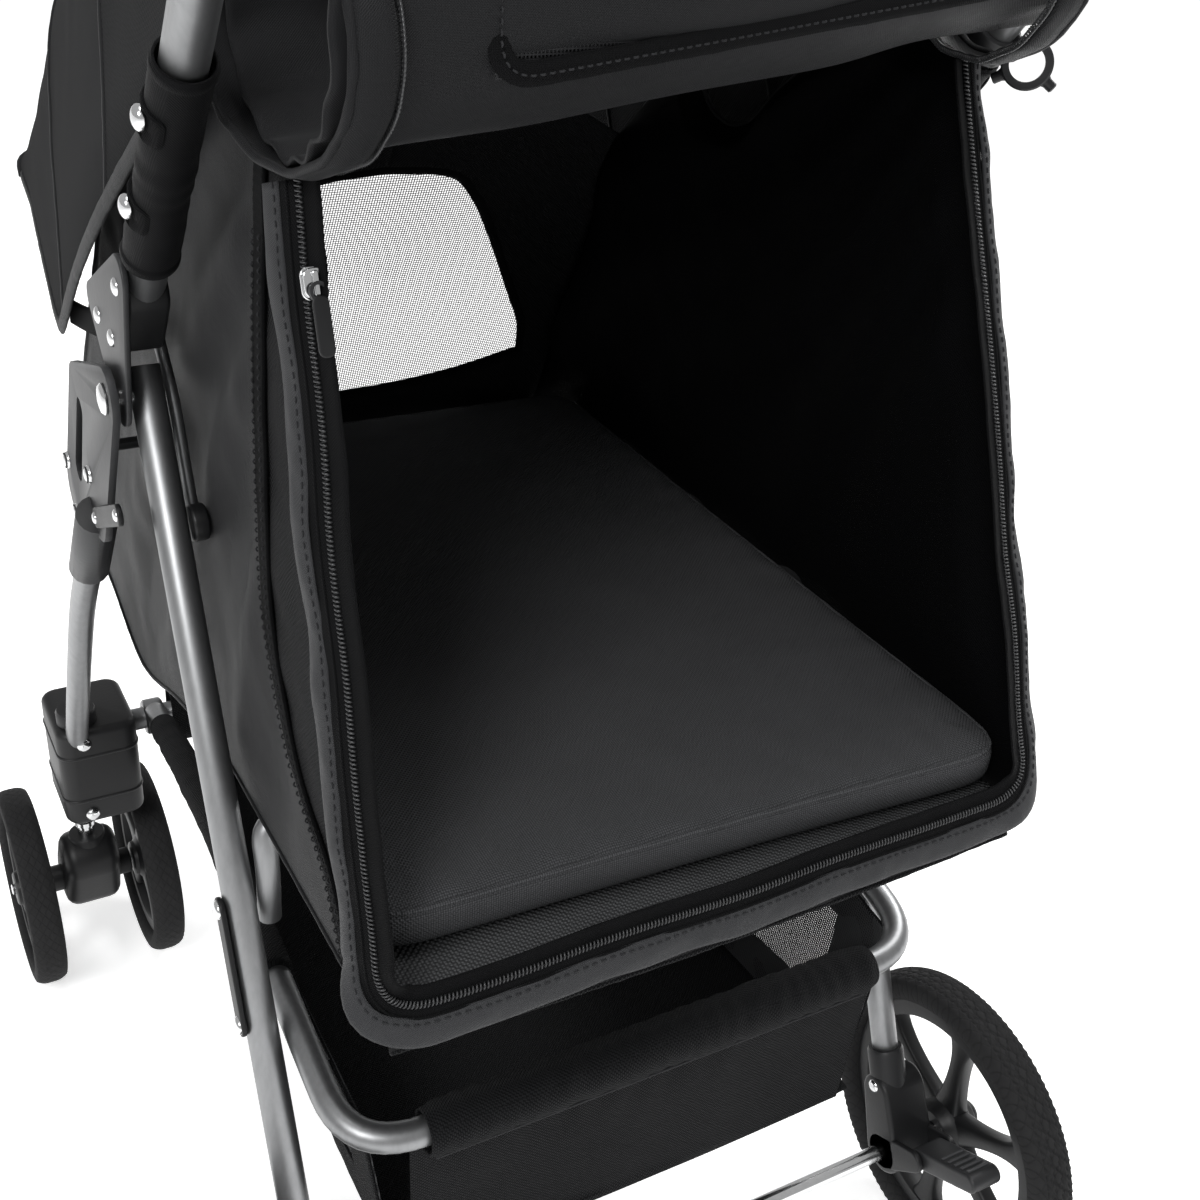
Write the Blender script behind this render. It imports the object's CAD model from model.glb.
"""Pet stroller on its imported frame: materials, fabric, padding and fine detail.

Lengths in the tables are millimetres in the row frame (+X right, +Y forward, +Z up), and every Blender object
is in metres. Side views are (y, z) pairs. A side is a tag, r or l, with its sign along X.
"""
from math import atan2, copysign, cos, hypot, pi, radians, sin, sqrt

import bmesh
import bpy
from mathutils import Matrix, Vector, noise


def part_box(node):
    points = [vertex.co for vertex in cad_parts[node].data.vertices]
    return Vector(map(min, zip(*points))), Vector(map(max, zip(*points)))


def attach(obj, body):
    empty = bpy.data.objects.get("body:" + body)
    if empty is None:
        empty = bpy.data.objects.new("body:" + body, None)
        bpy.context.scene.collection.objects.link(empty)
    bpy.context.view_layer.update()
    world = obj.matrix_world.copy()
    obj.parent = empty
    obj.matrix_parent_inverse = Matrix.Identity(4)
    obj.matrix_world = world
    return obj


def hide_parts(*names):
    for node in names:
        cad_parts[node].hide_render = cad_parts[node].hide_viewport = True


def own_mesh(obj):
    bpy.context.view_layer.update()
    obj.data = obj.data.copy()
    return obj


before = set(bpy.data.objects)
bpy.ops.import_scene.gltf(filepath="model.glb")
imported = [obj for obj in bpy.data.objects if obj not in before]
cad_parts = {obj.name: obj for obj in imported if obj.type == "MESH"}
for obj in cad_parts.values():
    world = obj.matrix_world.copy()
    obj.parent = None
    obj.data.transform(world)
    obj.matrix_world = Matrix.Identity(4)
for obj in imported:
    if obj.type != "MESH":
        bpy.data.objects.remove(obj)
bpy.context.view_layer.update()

MM = 0.001
SCENE = bpy.context.scene
AXIS_X = Vector((1, 0, 0))
AXIS_Z = Vector((0, 0, 1))
SIDES = (("r", 1), ("l", -1))

# ---- camera, metres and radians; the lens and the sensor in mm ----
CAMERA_PLACE = (-0.3325, -0.6810, 0.8666)
CAMERA_YAW = 0.534
CAMERA_PITCH = 0.524
CAMERA_ROLL = 0.071
CAMERA_LENS = 45.41
CAMERA_SENSOR = 36.0

# ---- dimensions repeated from the CAD model, mm ----
HINGE = (-10.0, 584.0)
REAR_AXLE = (-216.0, 100.0)
REAR_LEG_X = 188.0
REAR_WHEEL_X = 230.0
REAR_WHEEL_R = 100.0
REAR_WHEEL_W = 28.0
HANDLE_X = 188.5
HANDLE_R = 9.0
HANDLE_START = (-20.0, 633.2)
HANDLE_BEND = (-281.0, 941.7)
CROSSBAR = (-344.0, 968.0)
FRONT_LEG_X = 206.0
FRONT_LEG_PATH = [(60, 485), (92, 446), (135, 397), (170, 342), (205, 283), (232, 235), (250, 200)]
CASTOR_X = 203.0
CASTOR_AXLE = (285.0, 75.0)
CASTOR_WHEEL_R = 75.0
CASTOR_WHEEL_W = 23.0
CASTOR_WHEEL_OFFSET = 43.5
BEAD_SHARE = 0.62
RIM_SHARE = 0.55
CROSS_TUBE = (272.0, 212.0)
RING_REAR = (-214.0, 273.0)
RING_ARM = [(171, -185, 286), (171, -115, 292), (163, -30, 278), (155, 60, 262), (150, 160, 245),
            (145, 264, 220)]
OPENING_LEAN = 0.358
OPENING_FOOT = (-262.0, 404.0)
QUARTERS = (0, 0.25, 0.5, 0.75, 1)


# ---------------------------------------------------------------- camera, light and floor
def set_camera():
    flat = cos(CAMERA_PITCH)
    ahead = Vector((sin(CAMERA_YAW) * flat, cos(CAMERA_YAW) * flat, -sin(CAMERA_PITCH)))
    level = Vector((cos(CAMERA_YAW), -sin(CAMERA_YAW), 0))
    over = level.cross(ahead)
    right = cos(CAMERA_ROLL) * level + sin(CAMERA_ROLL) * over
    up = -sin(CAMERA_ROLL) * level + cos(CAMERA_ROLL) * over
    turn = Matrix((right, up, -ahead)).transposed()
    data = bpy.data.cameras.new("camera")
    data.sensor_width = CAMERA_SENSOR
    data.lens = CAMERA_LENS
    data.clip_end = 50.0
    camera = bpy.data.objects.new("camera", data)
    camera.matrix_world = Matrix.Translation(Vector(CAMERA_PLACE)) @ turn.to_4x4()
    SCENE.collection.objects.link(camera)
    SCENE.camera = camera


def area_light(name, place, target, size, power):
    data = bpy.data.lights.new(name, "AREA")
    data.shape = "DISK"
    data.size = size
    data.energy = power
    light = bpy.data.objects.new(name, data)
    place = Vector(place)
    aim = (Vector(target) - place).to_track_quat("-Z", "Y")
    light.matrix_world = Matrix.Translation(place) @ aim.to_matrix().to_4x4()
    SCENE.collection.objects.link(light)


def set_stage():
    SCENE.view_settings.view_transform = "Standard"
    world = bpy.data.worlds.new("studio")
    SCENE.world = world
    world.use_nodes = True
    tree = world.node_tree
    sky = tree.nodes["Background"]
    sky.inputs["Color"].default_value = (1.0, 1.0, 1.0, 1.0)
    path = tree.nodes.new("ShaderNodeLightPath")
    seen = tree.nodes.new("ShaderNodeMapRange")
    seen.inputs["To Min"].default_value = 0.5
    seen.inputs["To Max"].default_value = 1.05
    tree.links.new(path.outputs["Is Camera Ray"], seen.inputs["Value"])
    tree.links.new(seen.outputs["Result"], sky.inputs["Strength"])
    area_light("key", (-1.7, -1.5, 2.3), (0, 0, 0.45), 1.2, 46.0)
    area_light("rim", (1.9, 0.6, 1.9), (0, 0, 0.5), 1.0, 34.0)
    area_light("top", (0.1, -0.3, 2.6), (0, 0, 0.4), 1.4, 24.0)
    floor = bpy.data.meshes.new("studio_floor")
    floor.from_pydata([(-40, -40, 0), (40, -40, 0), (40, 40, 0), (-40, 40, 0)], [], [(0, 1, 2, 3)])
    plane = bpy.data.objects.new("studio_floor", floor)
    plane.location.z = -0.0005
    SCENE.collection.objects.link(plane)
    paper = bpy.data.materials.new("floor_paper")
    paper.use_nodes = True
    shader = paper.node_tree.nodes["Principled BSDF"]
    shader.inputs["Base Color"].default_value = (0.96, 0.96, 0.96, 1)
    shader.inputs["Roughness"].default_value = 0.9
    shader.inputs["Specular IOR Level"].default_value = 0.1
    shader.inputs["Emission Color"].default_value = (1, 1, 1, 1)
    shader.inputs["Emission Strength"].default_value = 0.55
    floor.materials.append(paper)


# ---------------------------------------------------------------- node helpers
class Nodes:
    """A material's node tree with short ways to add and wire nodes."""

    def __init__(self, name):
        self.material = bpy.data.materials.new(name)
        self.material.use_nodes = True
        self.tree = self.material.node_tree
        self.shader = self.tree.nodes["Principled BSDF"]
        self.coords = self.tree.nodes.new("ShaderNodeTexCoord")

    def feed(self, socket, value):
        if isinstance(value, bpy.types.NodeSocket):
            self.tree.links.new(value, socket)
        elif value is not None:
            socket.default_value = value

    def math(self, kind, a, b=None, c=None):
        node = self.tree.nodes.new("ShaderNodeMath")
        node.operation = kind
        for socket, value in zip(node.inputs, (a, b, c)):
            self.feed(socket, value)
        return node.outputs[0]

    def noise(self, scale, detail=3.0, roughness=0.6, vector=None, stretch=None):
        node = self.tree.nodes.new("ShaderNodeTexNoise")
        node.inputs["Scale"].default_value = scale
        node.inputs["Detail"].default_value = detail
        node.inputs["Roughness"].default_value = roughness
        source = vector or self.coords.outputs["Object"]
        if stretch:
            mapping = self.tree.nodes.new("ShaderNodeMapping")
            mapping.inputs["Scale"].default_value = stretch
            self.feed(mapping.inputs["Vector"], source)
            source = mapping.outputs["Vector"]
        self.feed(node.inputs["Vector"], source)
        return node.outputs["Fac"]

    def ramp(self, value, low, high, start=0.0, end=1.0):
        node = self.tree.nodes.new("ShaderNodeMapRange")
        self.feed(node.inputs["Value"], value)
        node.inputs["From Min"].default_value = start
        node.inputs["From Max"].default_value = end
        node.inputs["To Min"].default_value = low
        node.inputs["To Max"].default_value = high
        return node.outputs["Result"]

    def blend(self, share, dark, light):
        node = self.tree.nodes.new("ShaderNodeMix")
        node.data_type = "RGBA"
        self.feed(node.inputs["Factor"], share)
        for socket, value in ((node.inputs[6], dark), (node.inputs[7], light)):
            self.feed(socket, value if isinstance(value, bpy.types.NodeSocket) else (*value, 1.0))
        return node.outputs[2]

    def bump(self, height, distance, strength=1.0, under=None):
        node = self.tree.nodes.new("ShaderNodeBump")
        node.inputs["Strength"].default_value = strength
        node.inputs["Distance"].default_value = distance
        self.feed(node.inputs["Height"], height)
        self.feed(node.inputs["Normal"], under)
        return node.outputs["Normal"]

    def axes(self):
        """The object's own coordinates along the two directions that lie most in the surface."""
        place = self.tree.nodes.new("ShaderNodeSeparateXYZ")
        self.feed(place.inputs[0], self.coords.outputs["Object"])
        facing = self.tree.nodes.new("ShaderNodeSeparateXYZ")
        self.feed(facing.inputs[0], self.coords.outputs["Normal"])
        x, y, z = place.outputs
        nx, ny, nz = [self.math("ABSOLUTE", n) for n in facing.outputs]
        side = self.math("MULTIPLY", self.math("GREATER_THAN", nx, ny), self.math("GREATER_THAN", nx, nz))
        flat = self.math("MULTIPLY", self.math("GREATER_THAN", nz, ny), self.math("SUBTRACT", 1.0, side))
        return self.pick(y, x, side), self.pick(y, z, flat)

    def pick(self, on, off, share):
        kept = self.math("MULTIPLY", on, share)
        other = self.math("MULTIPLY", off, self.math("SUBTRACT", 1.0, share))
        return self.math("ADD", kept, other)

    def waves(self, value, pitch):
        return self.math("SINE", self.math("MULTIPLY", value, 2 * pi / pitch))

    def finish(self, colour=None, roughness=None, normal=None, metallic=0.0, specular=0.5, sheen=0.0,
               coat=0.0):
        put = self.shader.inputs
        if colour is not None:
            self.feed(put["Base Color"], colour)
        if roughness is not None:
            self.feed(put["Roughness"], roughness)
        if normal is not None:
            self.feed(put["Normal"], normal)
        put["Metallic"].default_value = metallic
        put["Specular IOR Level"].default_value = specular
        put["Sheen Weight"].default_value = sheen
        put["Sheen Roughness"].default_value = 0.4
        put["Coat Weight"].default_value = coat
        return self.material


def woven(name, dark, light, pitch, depth, roughness=0.82, sheen=0.025, crease=0.0008, specular=0.10):
    """Plain-weave cloth: crossed threads, slight shade changes and soft creases."""
    n = Nodes(name)
    u, v = n.axes()
    thread = n.math("MULTIPLY", n.waves(u, pitch), n.waves(v, pitch))
    ribs = n.math("ABSOLUTE", thread)
    patch = n.noise(9.0, 4.0)
    fleck = n.noise(900.0, 1.0)
    shade = n.math("ADD", n.math("MULTIPLY", patch, 0.30), n.math("MULTIPLY", ribs, 0.75))
    shade = n.math("ADD", shade, n.math("MULTIPLY", fleck, 0.10))
    soft = n.bump(n.noise(26.0, 3.0), crease)
    normal = n.bump(thread, depth, 0.9, soft)
    return n.finish(n.blend(shade, dark, light), n.ramp(patch, roughness - 0.08, roughness + 0.08),
                    normal, specular=specular, sheen=sheen)


def netting(name, thread_colour, pitch, open_share):
    """Fine net: threads round open holes, let through by alpha."""
    n = Nodes(name)
    u, v = n.axes()
    across = n.math("ABSOLUTE", n.waves(u, pitch * 2))
    along = n.math("ABSOLUTE", n.waves(v, pitch * 2))
    hole = n.math("GREATER_THAN", n.math("MINIMUM", across, along), 1.0 - open_share)
    patch = n.noise(14.0, 3.0)
    colour = n.blend(patch, thread_colour, tuple(1.5 * c for c in thread_colour))
    normal = n.bump(n.math("ADD", across, along), 0.0002, 0.6)
    material = n.finish(colour, n.ramp(patch, 0.6, 0.8), normal, specular=0.3, sheen=0.1)
    n.feed(n.shader.inputs["Alpha"], n.math("SUBTRACT", 1.0, hole))
    return material


def coated_metal(name, dark, light, roughness, metallic, scratch=0.00002):
    """Satin-coated or plated tube: fine drawn lines, cloudy gloss and small scuffs."""
    n = Nodes(name)
    lines = n.noise(260.0, 2.0, stretch=(1.0, 1.0, 0.12))
    cloud = n.noise(7.0, 4.0)
    scuff = n.ramp(n.noise(48.0, 5.0, 0.75), 0.0, 1.0, 0.62, 0.78)
    shade = n.math("ADD", n.math("MULTIPLY", lines, 0.5), n.math("MULTIPLY", cloud, 0.5))
    colour = n.blend(shade, dark, light)
    rough = n.math("ADD", n.ramp(cloud, roughness - 0.06, roughness + 0.08), n.math("MULTIPLY", scuff, 0.14))
    return n.finish(colour, rough, n.bump(lines, scratch, 0.7), metallic=metallic, specular=0.5, coat=0.05)


def moulded(name, dark, light, roughness, grain=420.0, depth=0.00012):
    """Moulded plastic: fine pebbled grain, cloudy sheen and paler rubbed edges."""
    n = Nodes(name)
    pebble = n.noise(grain, 2.0)
    cloud = n.noise(18.0, 4.0)
    geometry = n.tree.nodes.new("ShaderNodeNewGeometry")
    edge = n.ramp(geometry.outputs["Pointiness"], 0.0, 0.55, 0.53, 0.62)
    base = n.blend(cloud, dark, light)
    colour = n.blend(edge, base, tuple(2.4 * c + 0.006 for c in light))
    rough = n.ramp(cloud, roughness - 0.07, roughness + 0.09)
    return n.finish(colour, rough, n.bump(pebble, depth, 0.6), specular=0.3)


def wheel_foam(name, centre_x, centre, diamonds, dark, light):
    """Foam tyre with a diamond tread round its own axle."""
    n = Nodes(name)
    place = n.tree.nodes.new("ShaderNodeSeparateXYZ")
    n.feed(place.inputs[0], n.coords.outputs["Object"])
    x = n.math("SUBTRACT", place.outputs[0], centre_x * MM)
    y = n.math("SUBTRACT", place.outputs[1], centre[0] * MM)
    z = n.math("SUBTRACT", place.outputs[2], centre[1] * MM)
    turn = n.math("MULTIPLY", n.math("ARCTAN2", z, y), diamonds)
    slant = n.math("MULTIPLY", x, 520.0)
    left = n.math("SINE", n.math("ADD", turn, slant))
    right = n.math("SINE", n.math("SUBTRACT", turn, slant))
    groove = n.math("MINIMUM", n.math("ABSOLUTE", left), n.math("ABSOLUTE", right))
    tread = n.ramp(groove, 0.0, 1.0, 0.0, 0.35)
    dust = n.noise(30.0, 5.0)
    shade = n.math("ADD", n.math("MULTIPLY", dust, 0.7), n.math("MULTIPLY", tread, 0.3))
    pores = n.bump(n.noise(700.0, 2.0), 0.0001, 0.5)
    normal = n.bump(tread, 0.0002, 0.8, pores)
    return n.finish(n.blend(shade, dark, light), n.ramp(dust, 0.72, 0.92), normal, specular=0.15)


def make_materials():
    """Every finish by its key, with the record's material slot that it belongs to."""
    slots = {
        "oxford_fabric": {
            "oxford": woven("oxford", (0.0018, 0.0019, 0.0022), (0.016, 0.0164, 0.0175), 0.0022, 0.0005,
                            specular=0.07),
            "inner": woven("inner_lining", (0.0005, 0.0005, 0.0006), (0.0018, 0.0019, 0.0022), 0.0013, 0.0002,
                           0.7, 0.003, specular=0.03),
            "sleeve": woven("sleeve_cloth", (0.0012, 0.0012, 0.0014), (0.0062, 0.0064, 0.007), 0.0010,
                            0.00012, 0.55, 0.02, 0.0014, 0.05),
            "satin": woven("satin_cloth", (0.0038, 0.0039, 0.0043), (0.015, 0.0153, 0.0165), 0.0010, 0.00012,
                           0.5, 0.04, 0.0014),
            "binding": woven("grey_binding", (0.012, 0.0122, 0.013), (0.050, 0.051, 0.054), 0.0009, 0.00015,
                             0.45, 0.05, 0.0016),
            "pad": woven("pad_cover", (0.0080, 0.0082, 0.0088), (0.082, 0.0835, 0.088), 0.0022, 0.0005,
                         0.85, 0.03),
            "coarse": woven("coarse_floor", (0.005, 0.0051, 0.0055), (0.085, 0.087, 0.09), 0.0034, 0.0008,
                            0.6, 0.015),
            "tape": woven("zip_tape_cloth", (0.0014, 0.0014, 0.0016), (0.0070, 0.0072, 0.0078), 0.0011,
                          0.0003, 0.75, 0.01, specular=0.06),
            "thread": woven("stitch_thread", (0.012, 0.0122, 0.013), (0.034, 0.0345, 0.037), 0.0006, 0.0001,
                            0.6, 0.02),
        },
        "net_fabric": {
            "net": netting("window_net", (0.030, 0.0305, 0.033), 0.0017, 0.72),
            "dark_net": netting("flap_net", (0.004, 0.0042, 0.005), 0.0015, 0.42),
            "grey_net": netting("basket_net", (0.027, 0.0276, 0.029), 0.0016, 0.44),
        },
        "silver_tube": {"silver": coated_metal("silver_tube", (0.17, 0.173, 0.176), (0.34, 0.344, 0.35),
                                               0.40, 0.94)},
        "steel": {
            "steel": coated_metal("bright_steel", (0.55, 0.56, 0.57), (0.78, 0.78, 0.78), 0.14, 1.0),
            "zip": coated_metal("zip_coil", (0.012, 0.0122, 0.013), (0.055, 0.056, 0.058), 0.28, 0.3),
        },
        "black_plastic": {"black": moulded("black_plastic", (0.003, 0.0031, 0.0034), (0.010, 0.0102, 0.011),
                                           0.44)},
        "grey_plastic": {"grey": moulded("grey_plastic", (0.010, 0.0102, 0.011), (0.026, 0.0265, 0.028),
                                         0.42)},
        "foam": {"foam": moulded("grip_foam", (0.004, 0.0041, 0.0045), (0.014, 0.0142, 0.015), 0.9, 900.0,
                                 0.0003)},
    }
    return {key: (material, slot) for slot, group in slots.items() for key, material in group.items()}


# ---------------------------------------------------------------- mesh helpers
def vec(x, y, z):
    """A point in metres from millimetres."""
    return Vector((x, y, z)) * MM


def clamp(value, low=0.0, high=1.0):
    return min(max(value, low), high)


def angles(count):
    """Equal steps round a full turn."""
    return [2 * pi * k / count for k in range(count)]


def squared(value, power):
    """A sine or cosine pushed outwards, so that the round it draws has flatter sides."""
    return copysign(abs(value) ** power, value)


def mirrored(points):
    """The same points on the other side, in the opposite order."""
    return [Vector((-p.x, p.y, p.z)) for p in reversed(points)]


def rounded(points, radius, steps=8):
    """A polyline in metres whose corners are rounded."""
    stations = [points[0]]
    for before, corner, after in zip(points, points[1:], points[2:]):
        back = before - corner
        ahead = after - corner
        reach = min(radius * MM, back.length * 0.48, ahead.length * 0.48)
        start = corner + back.normalized() * reach
        end = corner + ahead.normalized() * reach
        for i in range(steps + 1):
            t = i / steps
            stations.append((1 - t) ** 2 * start + 2 * t * (1 - t) * corner + t * t * end)
    stations.append(points[-1])
    return stations


def resampled(points, count):
    """The same polyline in equal steps."""
    lengths = [0.0]
    for a, b in zip(points, points[1:]):
        lengths.append(lengths[-1] + (b - a).length)
    out = []
    piece = 0
    for i in range(count):
        target = lengths[-1] * i / (count - 1)
        while piece < len(points) - 2 and lengths[piece + 1] < target:
            piece += 1
        span = lengths[piece + 1] - lengths[piece]
        share = 0 if span == 0 else (target - lengths[piece]) / span
        out.append(points[piece].lerp(points[piece + 1], clamp(share)))
    return out


class Shape:
    """Vertices and faces gathered before they become one mesh."""

    def __init__(self):
        self.verts = []
        self.faces = []

    def add(self, verts, faces):
        base = len(self.verts)
        self.verts.extend(verts)
        self.faces.extend(tuple(i + base for i in face) for face in faces)

    def grid(self, rows, wrap_rows=False, wrap_columns=False):
        height, width = len(rows), len(rows[0])
        faces = []
        for i in range(height if wrap_rows else height - 1):
            for j in range(width if wrap_columns else width - 1):
                k, m = (i + 1) % height, (j + 1) % width
                faces.append((i * width + j, i * width + m, k * width + m, k * width + j))
        self.add([p for row in rows for p in row], faces)

    def loft(self, rings):
        """Closed rings joined in order, with both ends capped."""
        self.grid(rings, wrap_columns=True)
        count = len(rings[0])
        base = len(self.verts) - count * len(rings)
        self.faces.append(tuple(base + i for i in reversed(range(count))))
        last = base + count * (len(rings) - 1)
        self.faces.append(tuple(last + i for i in range(count)))

    def sweep(self, path, radii, sides=20, flatten=1.0, first_normal=None):
        """A round or flattened bar along a path, with a radius for each station."""
        rings = []
        normal = first_normal
        for i, place in enumerate(path):
            along = (path[min(i + 1, len(path) - 1)] - path[max(i - 1, 0)])
            if along.length < 1e-9:
                along = AXIS_Z
            along.normalize()
            if normal is None:
                normal = along.orthogonal()
            normal = (normal - along * normal.dot(along)).normalized()
            other = along.cross(normal)
            r = radii[i] if isinstance(radii, (list, tuple)) else radii
            rings.append([place + (normal * cos(a) * flatten + other * sin(a)) * r for a in angles(sides)])
        self.loft(rings)

    def turned(self, profile, centre, segments, axis=AXIS_X):
        """A closed profile of (radius, axial) pairs in mm turned about an axis."""
        first = axis.orthogonal().normalized()
        second = axis.cross(first)
        rings = []
        for a in angles(segments):
            out = first * cos(a) + second * sin(a)
            rings.append([(centre + out * r + axis * h) * MM for r, h in profile])
        self.grid(rings, wrap_rows=True, wrap_columns=True)

    def dome(self, centre, axis, radius, height, sides=16):
        """A rivet head: a low dome standing on a surface."""
        axis = axis.normalized()
        first = axis.orthogonal().normalized()
        second = axis.cross(first)
        rings = []
        for share in (-0.25, 0.0, 0.35, 0.65, 0.86, 0.97):
            r = radius * sqrt(max(1 - max(share, 0) ** 2, 0))
            rings.append([centre + axis * height * share + (first * cos(a) + second * sin(a)) * r
                          for a in angles(sides)])
        self.loft(rings)

    def make(self, name, material, body, angle=None, nodes=()):
        """The piece: edges sharper than angle stay crisp, and nodes are the CAD pieces it stands for."""
        mesh = bpy.data.meshes.new(name)
        mesh.from_pydata([tuple(v) for v in self.verts], [], self.faces)
        mesh.update()
        fix_normals(mesh)
        mesh.shade_smooth()
        if angle:
            sharpen(mesh, angle)
        return settle(name, mesh, material, body, nodes)


def settle(name, mesh, material, body, nodes=()):
    """A piece with its material and slot, riding on its body in place of its CAD nodes."""
    finish, slot_name = MAT[material]
    mesh.materials.clear()
    mesh.materials.append(finish)
    piece = bpy.data.objects.new(name, mesh)
    SCENE.collection.objects.link(piece)
    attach(piece, body)
    if nodes:
        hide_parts(*nodes)
    return piece


def fix_normals(mesh):
    work = bmesh.new()
    work.from_mesh(mesh)
    bmesh.ops.recalc_face_normals(work, faces=work.faces)
    work.to_mesh(mesh)
    work.free()


def sharpen(mesh, angle):
    work = bmesh.new()
    work.from_mesh(mesh)
    for edge in work.edges:
        edge.smooth = len(edge.link_faces) == 2 and edge.calc_face_angle(0.0) < radians(angle)
    work.to_mesh(mesh)
    work.free()


def freeze(piece):
    """Applies every modifier to the mesh."""
    bpy.context.view_layer.update()
    graph = bpy.context.evaluated_depsgraph_get()
    done = bpy.data.meshes.new_from_object(piece.evaluated_get(graph))
    piece.modifiers.clear()
    piece.data = done


def thicken(piece, thickness):
    """Turns an open surface into a thin cloth with two faces."""
    solid = piece.modifiers.new("thick", "SOLIDIFY")
    solid.thickness = thickness
    solid.offset = 0.0
    freeze(piece)
    piece.data.shade_smooth()


def bevelled(node, material, body):
    """A CAD piece with its sharp edges rounded."""
    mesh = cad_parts[node].data.copy()
    mesh.name = node + "_smooth"
    work = bmesh.new()
    work.from_mesh(mesh)
    bmesh.ops.remove_doubles(work, verts=work.verts, dist=1e-5)
    bmesh.ops.dissolve_limit(work, angle_limit=radians(2), verts=work.verts, edges=work.edges)
    bmesh.ops.recalc_face_normals(work, faces=work.faces)
    work.to_mesh(mesh)
    work.free()
    piece = settle(node + "_smooth", mesh, material, body, [node])
    bevel = piece.modifiers.new("edges", "BEVEL")
    bevel.width = 0.8 * MM
    bevel.segments = 2
    bevel.limit_method = "ANGLE"
    bevel.angle_limit = radians(28)
    freeze(piece)
    piece.data.shade_smooth()
    sharpen(piece.data, 32)


def fold(piece):
    """Cabin cloth flattens on to the floor board as the frame folds."""
    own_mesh(piece)
    return piece


def ripple(p, scale, seed=0.0, stretch=(1.0, 1.0, 1.0)):
    """Smooth noise from -1 to 1 at a point in metres."""
    q = Vector((p.x * stretch[0], p.y * stretch[1], p.z * stretch[2])) * scale
    return noise.noise(q + Vector((seed, seed * 1.7, seed * 0.3)))


set_camera()
set_stage()
MAT = make_materials()


# ---------------------------------------------------------------- hard pieces
def hull_points(circles, count=72):
    """Points round the convex hull of (y, z, radius) circles."""
    points = []
    for a in angles(count):
        dy, dz = cos(a), sin(a)
        y, z, r = max(circles, key=lambda c: c[0] * dy + c[1] * dz + c[2])
        points.append((y + r * dy, z + r * dz))
    return points


def plate(shape, circles, x0, x1, edge=1.2):
    """A plate across X with rounded edges, outlined by the hull of circles."""
    x0, x1 = sorted((x0, x1))
    rings = []
    turns = (0, 22.5, 45, 67.5, 90)
    stations = [(x0 + edge * (1 - sin(radians(a))), edge * (1 - cos(radians(a))))
                for a in reversed(turns)]
    stations += [(x1 - edge * (1 - sin(radians(a))), edge * (1 - cos(radians(a))))
                 for a in turns]
    for x, inset in stations:
        inner = [(y, z, r - inset) for y, z, r in circles]
        rings.append([vec(x, y, z) for y, z in hull_points(inner)])
    shape.loft(rings)


def lathe(shape, profile, centre, axis, segments=32):
    """Open profile of (radius, axial) pairs in mm turned about an axis, closed by a flat face at each end."""
    first = axis.orthogonal().normalized()
    second = axis.cross(first)
    shape.loft([[(centre + axis * h + (first * cos(a) + second * sin(a)) * r) * MM for a in angles(segments)]
                for r, h in profile])


def rounded_box(shape, low, high, corner, edge):
    """A block whose vertical corners and horizontal edges are rounded."""
    (x0, y0, z0), (x1, y1, z1) = low, high
    turns = [radians(a) for a in (0, 22.5, 45, 67.5, 90)]
    stations = [(z0 + edge * (1 - sin(a)), edge * (1 - cos(a))) for a in reversed(turns)]
    stations += [(z1 - edge * (1 - sin(a)), edge * (1 - cos(a))) for a in turns]
    rings = []
    for z, inset in stations:
        ring = []
        radius = max(corner - inset, 0.4)
        for sx, sy, start in ((1, 1, 0), (-1, 1, 90), (-1, -1, 180), (1, -1, 270)):
            cx = (x1 if sx > 0 else x0) - sx * (inset + radius)
            cy = (y1 if sy > 0 else y0) - sy * (inset + radius)
            for i in range(7):
                a = radians(start + 15 * i)
                ring.append(vec(cx + radius * cos(a), cy + radius * sin(a), z))
        rings.append(ring)
    shape.loft(rings)


def tube_ends(radius, count):
    """Radii along a tube whose two ends are slightly rounded."""
    radii = [radius * MM] * count
    radii[0] = radii[-1] = (radius - 0.8) * MM
    return radii


def tube_piece(name, nodes, points, radius, corner, body, sides=28):
    """A silver tube with softly rounded ends."""
    path = rounded(points, corner, 10)
    first, last = path[0], path[-1]
    after = first.lerp(path[1], min(0.0008 / (path[1] - first).length, 0.4))
    before = last.lerp(path[-2], min(0.0008 / (last - path[-2]).length, 0.4))
    path = [first, after] + path[1:-1] + [before, last]
    shape = Shape()
    shape.sweep(path, tube_ends(radius, len(path)), sides, first_normal=Vector((0.3, 0.2, 0.93)))
    shape.make(name, "silver", body, 50, nodes)


LEG_RUN = Vector((HINGE[0] - REAR_AXLE[0], HINGE[1] - REAR_AXLE[1])).normalized()
HANDLE_RUN = Vector((HANDLE_BEND[0] - HANDLE_START[0], HANDLE_BEND[1] - HANDLE_START[1])).normalized()


def on_leg(z):
    return HINGE[0] + (z - HINGE[1]) * LEG_RUN.x / LEG_RUN.y, z


def on_handle(along):
    return HANDLE_START[0] + along * HANDLE_RUN.x, HANDLE_START[1] + along * HANDLE_RUN.y


def rivets(name, spots, body, radius=4.9, height=3.1):
    """Domed chrome rivets: (x, y, z, direction) in mm."""
    shape = Shape()
    for x, y, z, way in spots:
        shape.dome(vec(x, y, z), Vector(way), radius * MM, height * MM, 20)
    shape.make(name, "steel", body, 60)


def side_rivets(name, x, s, pairs, body, *size):
    """Rivets that face outward on one side of the object, at (y, z) pairs."""
    rivets(name, [(s * x, y, z, (s, 0, 0)) for y, z in pairs], body, *size)


def plate_piece(name, node, material, body, circles, x0, x1, edge):
    """A piece that is one plate."""
    shape = Shape()
    plate(shape, circles, x0, x1, edge)
    shape.make(name, material, body, 40, [node] if node else ())


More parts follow.
